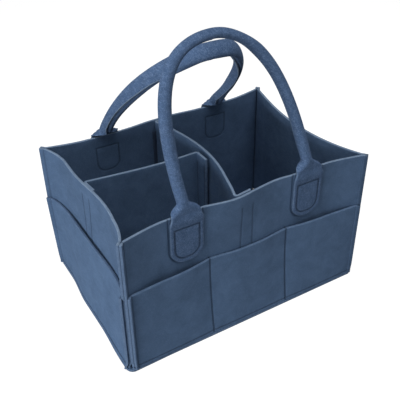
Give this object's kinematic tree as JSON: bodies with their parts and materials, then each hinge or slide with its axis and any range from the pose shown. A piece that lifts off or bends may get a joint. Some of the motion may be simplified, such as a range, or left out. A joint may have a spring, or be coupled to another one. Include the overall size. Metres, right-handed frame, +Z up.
{
  "type": "felt_caddy",
  "caption": "Soft felt caddy in slate blue with upright walls, slip pockets outside, rolled carry handles and lift-out inner dividers.",
  "frame": {"origin": "middle of the underside of the floor panel", "axes": "+X along the long side, towards the end away from the small divider; +Z up"},
  "size_m": [0.331, 0.233, 0.3438],
  "materials": {
    "felt": "matte",
    "pocket_felt": "matte",
    "tape": "matte"
  },
  "bodies": {
    "caddy": {"front_wall": "felt", "back_wall": "felt", "left_wall": "felt", "right_wall": "felt", "front_pocket": "pocket_felt", "back_pocket": "pocket_felt", "left_pocket": "pocket_felt", "right_pocket": "pocket_felt", "floor_panel": "felt", "front_left_handle_tab": "felt", "front_right_handle_tab": "felt", "back_left_handle_tab": "felt", "back_right_handle_tab": "felt", "front_wall_tape": "tape", "back_wall_tape": "tape", "left_wall_tape": "tape"},
    "front_handle": {"front_handle": "felt"},
    "back_handle": {"back_handle": "felt"},
    "cross_divider": {"cross_divider": "felt", "cross_divider_front_tape": "tape", "cross_divider_back_tape": "tape", "cross_divider_middle_tape": "tape"},
    "small_divider": {"small_divider": "felt", "small_divider_left_tape": "tape", "small_divider_right_tape": "tape"}
  },
  "joints": [
    {"name": "front_handle_swing", "type": "hinge", "parent": "caddy", "child": "front_handle", "pos_m": [0, -0.1043, 0.1804], "axis": [1, 0, 0], "range_deg": [0, 175]},
    {"name": "back_handle_swing", "type": "hinge", "parent": "caddy", "child": "back_handle", "pos_m": [0, 0.1043, 0.1804], "axis": [-1, 0, 0], "range_deg": [0, 190]},
    {"name": "cross_divider_lift", "type": "slide", "parent": "caddy", "child": "cross_divider", "axis": [0, 0, 1], "range_m": [0, 0.11]},
    {"name": "small_divider_lift", "type": "slide", "parent": "caddy", "child": "small_divider", "axis": [0, 0, 1], "range_m": [0, 0.09]}
  ]
}
